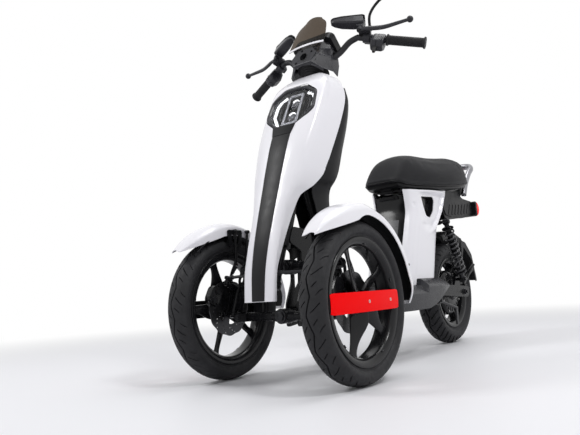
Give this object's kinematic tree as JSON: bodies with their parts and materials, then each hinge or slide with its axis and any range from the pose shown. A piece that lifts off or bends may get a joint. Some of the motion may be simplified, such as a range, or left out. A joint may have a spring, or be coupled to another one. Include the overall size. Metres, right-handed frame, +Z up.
{
  "type": "electric tricycle",
  "caption": "Ride-on electric tricycle: leaning front wheels on level arms, tall front cover with lamp, low step-through deck, seat over a battery box, sprung rear wheel.",
  "frame": {"origin": "on the floor under the middle of the machine's length and width", "axes": "+Z up, -Y forwards, +X to the rider's left"},
  "size_m": [0.7892, 1.7689, 1.428],
  "materials": {
    "white_plastic": "gloss",
    "dark_plastic": "satin",
    "gloss_black": "gloss",
    "black_frame": "satin",
    "black_alloy": "painted satin",
    "bare_alloy": "satin",
    "steel": "satin",
    "red_plastic": "gloss",
    "tyre_rubber": "matte",
    "grip_rubber": "matte",
    "clear_plastic": "gloss",
    "smoke_plastic": "gloss",
    "seat_leather": "matte"
  },
  "bodies": {
    "chassis": {"frame": "black_frame", "front_cover": "white_plastic", "cover_strip": "gloss_black", "headlight_housing": "dark_plastic", "headlight_lens": "clear_plastic", "leg_shield": "dark_plastic", "footboard": "dark_plastic", "battery_cover_left": "white_plastic", "battery_cover_right": "white_plastic", "battery_cover_front": "gloss_black", "battery_pack": "dark_plastic", "motor_controller": "bare_alloy", "tail_cover": "dark_plastic", "tail_lamp": "red_plastic", "grab_rail": "bare_alloy"},
    "seat": {"seat_pan": "dark_plastic", "seat_cushion": "seat_leather"},
    "upper_arm": {"upper_tilt_arm": "black_frame"},
    "lower_arm": {"lower_tilt_arm": "black_frame"},
    "upright_left": {"upright_left": "black_frame"},
    "upright_right": {"upright_right": "black_frame"},
    "knuckle_left": {"knuckle_left": "black_frame", "caliper_left": "bare_alloy", "fender_left": "white_plastic"},
    "knuckle_right": {"knuckle_right": "black_frame", "caliper_right": "bare_alloy", "fender_right": "white_plastic"},
    "wheel_left": {"front_wheel_left": "black_alloy", "front_tyre_left": "tyre_rubber", "brake_disc_left": "steel", "wheel_bar_left": "red_plastic"},
    "wheel_right": {"front_wheel_right": "black_alloy", "front_tyre_right": "tyre_rubber", "brake_disc_right": "steel", "wheel_bar_right": "red_plastic"},
    "steering": {"steering_stem": "black_frame", "handlebar": "black_frame", "stem_cowl": "dark_plastic", "display": "dark_plastic", "screen": "smoke_plastic", "brake_perch_left": "black_alloy", "brake_perch_right": "black_alloy", "grip_left": "grip_rubber", "switch_housing_left": "dark_plastic"},
    "lever_left": {"brake_lever_left": "black_alloy"},
    "lever_right": {"brake_lever_right": "black_alloy"},
    "throttle": {"throttle_grip": "grip_rubber"},
    "indicator": {"indicator_switch": "gloss_black"},
    "mirror_body": {"mirror": "black_alloy"},
    "link_block": {"link_block": "black_frame"},
    "tie_rod_left": {"tie_rod_left": "black_frame"},
    "tie_rod_right": {"tie_rod_right": "black_frame"},
    "swingarm": {"swingarm": "black_frame", "rear_mudguard": "dark_plastic"},
    "rear_wheel": {"rear_wheel": "black_alloy", "rear_tyre": "tyre_rubber"},
    "shock_body": {"shock_body": "black_frame", "shock_spring": "steel"},
    "shock_rod": {"shock_rod": "steel"},
    "side_stand": {"side_stand": "steel"}
  },
  "joints": [
    {"name": "lean", "type": "hinge", "parent": "chassis", "child": "lower_arm", "pos_m": [0, -0.649, 0.206], "axis": [0, 1, 0], "range_deg": [-22, 22]},
    {"name": "upper_arm_swing", "type": "hinge", "parent": "chassis", "child": "upper_arm", "pos_m": [0, -0.609, 0.36], "axis": [0, 1, 0], "range_deg": [-22, 22]},
    {"name": "steer", "type": "hinge", "parent": "chassis", "child": "steering", "pos_m": [0, -0.3865, 1.1], "axis": [0, 0.3518, 0.9361], "range_deg": [-22, 22]},
    {"name": "upright_left_swing", "type": "hinge", "parent": "lower_arm", "child": "upright_left", "pos_m": [0.185, -0.649, 0.206], "axis": [0, 1, 0], "range_deg": [-22, 22]},
    {"name": "kingpin_left_turn", "type": "hinge", "parent": "upright_left", "child": "knuckle_left", "pos_m": [0.22, -0.644, 0.23993], "axis": [0, 0.3518, 0.9361], "range_deg": [-22, 22]},
    {"name": "front_wheel_left_spin", "type": "hinge", "parent": "knuckle_left", "child": "wheel_left", "pos_m": [0.2625, -0.644, 0.23993], "axis": [1, 0, 0], "continuous": true},
    {"name": "upright_right_swing", "type": "hinge", "parent": "lower_arm", "child": "upright_right", "pos_m": [-0.185, -0.649, 0.206], "axis": [0, 1, 0], "range_deg": [-22, 22]},
    {"name": "kingpin_right_turn", "type": "hinge", "parent": "upright_right", "child": "knuckle_right", "pos_m": [-0.22, -0.644, 0.23993], "axis": [0, 0.3518, 0.9361], "range_deg": [-22, 22]},
    {"name": "front_wheel_right_spin", "type": "hinge", "parent": "knuckle_right", "child": "wheel_right", "pos_m": [-0.2625, -0.644, 0.23993], "axis": [1, 0, 0], "continuous": true},
    {"name": "link_block_turn", "type": "hinge", "parent": "steering", "child": "link_block", "pos_m": [0, -0.74272, 0.32282], "axis": [0, 0.3518, 0.9361], "range_deg": [-22, 22]},
    {"name": "tie_rod_left_swing", "type": "hinge", "parent": "link_block", "child": "tie_rod_left", "pos_m": [0.035, -0.73639, 0.33967], "axis": [0, 1, 0], "range_deg": [-22, 22]},
    {"name": "tie_rod_right_swing", "type": "hinge", "parent": "link_block", "child": "tie_rod_right", "pos_m": [-0.035, -0.73639, 0.33967], "axis": [0, 1, 0], "range_deg": [-22, 22]},
    {"name": "swingarm_lift", "type": "hinge", "parent": "chassis", "child": "swingarm", "pos_m": [0, 0.301, 0.25], "axis": [1, 0, 0], "range_deg": [0, 9], "stiffness_Nm_per_rad": 400, "springref_deg": -20.05},
    {"name": "rear_wheel_spin", "type": "hinge", "parent": "swingarm", "child": "rear_wheel", "pos_m": [0, 0.571, 0.232], "axis": [1, 0, 0], "continuous": true},
    {"name": "shock_pivot", "type": "hinge", "parent": "chassis", "child": "shock_body", "pos_m": [0.12, 0.376, 0.545], "axis": [1, 0, 0], "range_deg": [0, 1.63]},
    {"name": "shock_stroke", "type": "slide", "parent": "shock_body", "child": "shock_rod", "axis": [0, -0.4542, 0.8909], "range_m": [0, 0.03257], "deforming": ["shock_spring"]},
    {"name": "seat_open", "type": "hinge", "parent": "chassis", "child": "seat", "pos_m": [0, 0.078, 0.667], "axis": [1, 0, 0], "range_deg": [0, 65]},
    {"name": "stand_drop", "type": "hinge", "parent": "chassis", "child": "side_stand", "pos_m": [0.1053, 0.256, 0.205], "axis": [1, 0, 0], "range_deg": [-80, 0]},
    {"name": "brake_lever_left_pull", "type": "hinge", "parent": "steering", "child": "lever_left", "pos_m": [0.19156, -0.3678, 1.18696], "axis": [0.066, 0.5431, 0.8371], "range_deg": [0, 12], "stiffness_Nm_per_rad": 0.6, "springref_deg": -5.73},
    {"name": "brake_lever_right_pull", "type": "hinge", "parent": "steering", "child": "lever_right", "pos_m": [-0.19156, -0.3678, 1.18696], "axis": [0.066, -0.5431, -0.8371], "range_deg": [0, 12], "stiffness_Nm_per_rad": 0.6, "springref_deg": -5.73},
    {"name": "throttle_twist", "type": "hinge", "parent": "steering", "child": "throttle", "pos_m": [-0.32485, -0.29251, 1.11804], "axis": [-0.9105, 0.3104, -0.2732], "range_deg": [0, 60], "stiffness_Nm_per_rad": 0.25, "springref_deg": -5.73},
    {"name": "indicator_rock", "type": "hinge", "parent": "steering", "child": "indicator", "pos_m": [0.23691, -0.34858, 1.11835], "axis": [0.4082, -0.7802, 0.474], "range_deg": [-12, 12]},
    {"name": "mirror_turn", "type": "hinge", "parent": "steering", "child": "mirror_body", "pos_m": [0.21086, -0.33971, 1.18071], "axis": [0.066, 0.5431, 0.8371], "range_deg": [-20, 25]}
  ],
  "couplings": [
    {"joint": "upper_arm_swing", "follows": "lean", "ratio": 1},
    {"joint": "upright_left_swing", "follows": "lean", "ratio": -1},
    {"joint": "tie_rod_left_swing", "follows": "lean", "ratio": 1},
    {"joint": "kingpin_left_turn", "follows": "steer", "ratio": 1},
    {"joint": "upright_right_swing", "follows": "lean", "ratio": -1},
    {"joint": "tie_rod_right_swing", "follows": "lean", "ratio": 1},
    {"joint": "kingpin_right_turn", "follows": "steer", "ratio": 1},
    {"joint": "link_block_turn", "follows": "steer", "ratio": -1},
    {"joint": "shock_pivot", "follows": "swingarm_lift", "ratio": 0.1726},
    {"joint": "shock_stroke", "follows": "swingarm_lift", "m_per_rad": 0.20329}
  ]
}
